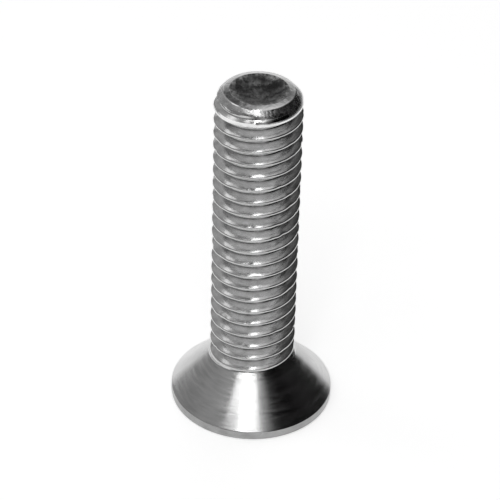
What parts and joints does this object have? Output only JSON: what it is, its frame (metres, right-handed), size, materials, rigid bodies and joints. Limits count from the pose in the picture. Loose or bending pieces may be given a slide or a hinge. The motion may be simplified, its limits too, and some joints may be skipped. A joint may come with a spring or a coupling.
{
  "type": "countersunk screw",
  "caption": "Flat countersunk machine screw in bright-plated steel, with a cross recess, a thread over its whole shank, and a bevelled, slightly dished tip.",
  "frame": {"origin": "centre of the flat head face, on which the screw stands", "axes": "+Z along the screw's axis from the head to the tip; the wings of the cross recess lie along X and Y"},
  "size_m": [0.0113, 0.0112, 0.025],
  "materials": {
    "plated_steel": "bright zinc plated"
  },
  "bodies": {
    "root": {"screw": "plated_steel"}
  },
  "joints": []
}
